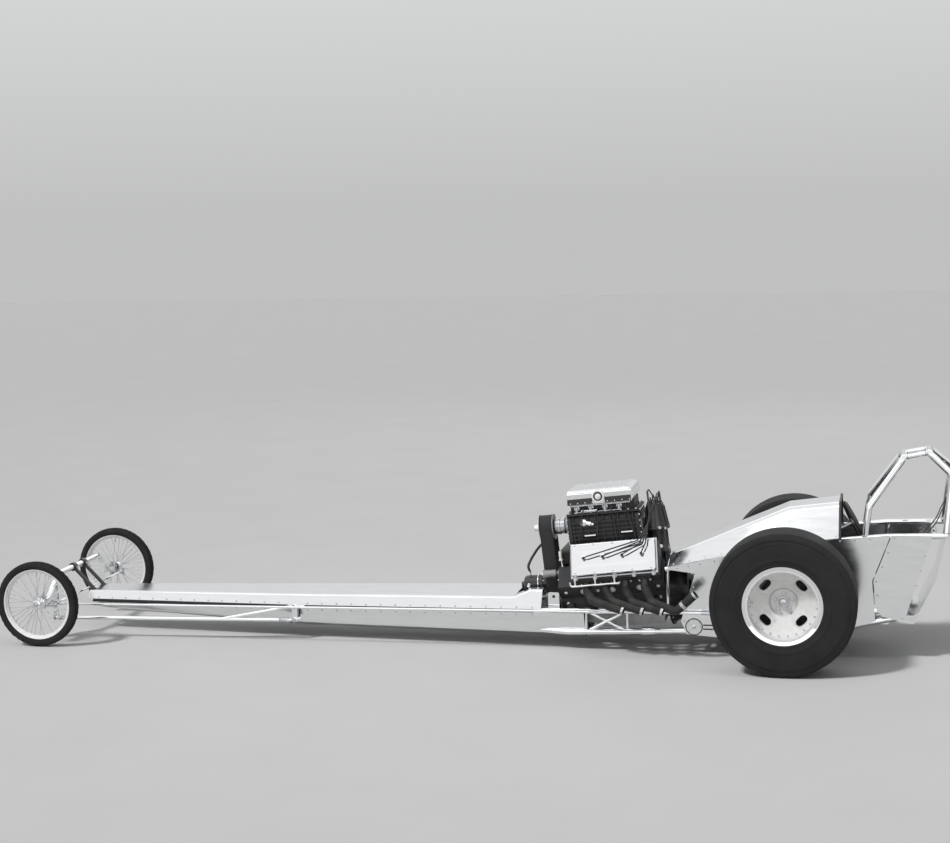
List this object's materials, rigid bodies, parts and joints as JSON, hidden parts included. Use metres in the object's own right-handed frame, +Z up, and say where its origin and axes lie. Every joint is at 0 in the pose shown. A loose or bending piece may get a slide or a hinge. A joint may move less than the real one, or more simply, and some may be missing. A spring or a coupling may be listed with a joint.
{
  "type": "drag racing car",
  "caption": "Front-engined slingshot drag racing car with a long tube chassis, supercharged V8, wire front wheels, wide rear slicks and an open cockpit behind the rear axle.",
  "frame": {"origin": "on the ground, under the middle of the car's length and width", "axes": "+X forward, +Y to the car's left, +Z up"},
  "size_m": [6.008, 1.4382, 1.214],
  "materials": {
    "body_aluminium": "polished",
    "chrome": "polished",
    "steel": "satin",
    "tyre": "matte",
    "magnesium": "satin",
    "cast_iron": "matte",
    "engine_black": "semi_gloss",
    "cast_aluminium": "cast",
    "belt_rubber": "matte",
    "header_black": "matte",
    "black_plastic": "matte",
    "seat_leather": "worn",
    "pack_fabric": "woven"
  },
  "bodies": {
    "chassis": {"axle_perch": "engine_black", "bell_housing": "engine_black", "belly_pan": "body_aluminium", "blower": "cast_iron", "coupler_tube": "steel", "cowl": "body_aluminium", "cylinder_heads": "cast_iron", "drive_belt": "belt_rubber", "drive_pulleys": "cast_aluminium", "engine_block": "cast_iron", "firewall": "body_aluminium", "frame_crossmembers": "chrome", "frame_left": "chrome", "frame_right": "chrome", "front_axle": "chrome", "fuel_lines": "chrome", "fuel_pump": "engine_black", "headers_left": "header_black", "headers_right": "header_black", "injector_body": "cast_iron", "injector_hat": "body_aluminium", "intake_manifold": "cast_iron", "magneto": "engine_black", "nose_top_panel": "body_aluminium", "oil_pan": "cast_aluminium", "parachute_pack": "pack_fabric", "plug_leads": "black_plastic", "radius_rods": "chrome", "rear_axle_housing": "cast_iron", "roll_cage": "chrome", "seat_pad": "seat_leather", "seat_shell": "body_aluminium", "side_panel_left": "body_aluminium", "side_panel_right": "body_aluminium", "steering_box": "cast_aluminium", "tail_panel_left": "body_aluminium", "tail_panel_right": "body_aluminium", "tail_skin": "body_aluminium", "valve_covers": "chrome"},
    "knuckle_left_body": {"knuckle_left": "steel"},
    "knuckle_right_body": {"knuckle_right": "steel"},
    "front_wheel_left": {"front_rim_left": "chrome", "front_tyre_left": "tyre"},
    "front_wheel_right": {"front_rim_right": "chrome", "front_tyre_right": "tyre"},
    "rear_wheel_left": {"rear_rim_left": "magnesium", "rear_tyre_left": "tyre"},
    "rear_wheel_right": {"rear_rim_right": "magnesium", "rear_tyre_right": "tyre"},
    "tie_rod_body": {"tie_rod": "chrome"},
    "drag_link_body": {"drag_link": "chrome"},
    "pitman_body": {"pitman_arm": "steel"},
    "steering_wheel_body": {"steering_wheel": "steel"}
  },
  "joints": [
    {"name": "steer_left", "type": "hinge", "parent": "chassis", "child": "knuckle_left_body", "pos_m": [2.736, 0.5, 0.268], "axis": [0, 0, 1], "range_deg": [-15, 15]},
    {"name": "steer_right", "type": "hinge", "parent": "chassis", "child": "knuckle_right_body", "pos_m": [2.736, -0.5, 0.268], "axis": [0, 0, 1], "range_deg": [-15, 15]},
    {"name": "tie_rod_pivot", "type": "hinge", "parent": "knuckle_left_body", "child": "tie_rod_body", "pos_m": [2.656, 0.5, 0.255], "axis": [0, 0, 1], "range_deg": [-15, 15]},
    {"name": "drag_link_pivot", "type": "hinge", "parent": "knuckle_left_body", "child": "drag_link_body", "pos_m": [2.736, 0.39, 0.227], "axis": [0, 0, 1], "range_deg": [-15, 15]},
    {"name": "pitman_turn", "type": "hinge", "parent": "chassis", "child": "pitman_body", "pos_m": [-1.434, 0.266, 0.385], "axis": [0, 1, 0], "range_deg": [-13.5, 13.5]},
    {"name": "wheel_turn", "type": "hinge", "parent": "chassis", "child": "steering_wheel_body", "pos_m": [-2.239, 0, 0.77], "axis": [-0.8847, -0.1779, 0.4309], "range_deg": [-60, 60]},
    {"name": "front_left_spin", "type": "hinge", "parent": "knuckle_left_body", "child": "front_wheel_left", "pos_m": [2.736, 0.575, 0.268], "axis": [0, 1, 0], "continuous": true},
    {"name": "front_right_spin", "type": "hinge", "parent": "knuckle_right_body", "child": "front_wheel_right", "pos_m": [2.736, -0.575, 0.268], "axis": [0, 1, 0], "continuous": true},
    {"name": "rear_left_spin", "type": "hinge", "parent": "chassis", "child": "rear_wheel_left", "pos_m": [-1.864, 0.585, 0.41], "axis": [0, 1, 0], "continuous": true},
    {"name": "rear_right_spin", "type": "hinge", "parent": "chassis", "child": "rear_wheel_right", "pos_m": [-1.864, -0.585, 0.41], "axis": [0, 1, 0], "continuous": true}
  ],
  "couplings": [
    {"joint": "steer_right", "follows": "steer_left", "ratio": 1},
    {"joint": "tie_rod_pivot", "follows": "steer_left", "ratio": -1},
    {"joint": "drag_link_pivot", "follows": "steer_left", "ratio": -1},
    {"joint": "pitman_turn", "follows": "steer_left", "ratio": -0.88},
    {"joint": "wheel_turn", "follows": "steer_left", "ratio": 4},
    {"joint": "rear_right_spin", "follows": "rear_left_spin", "ratio": 1}
  ]
}
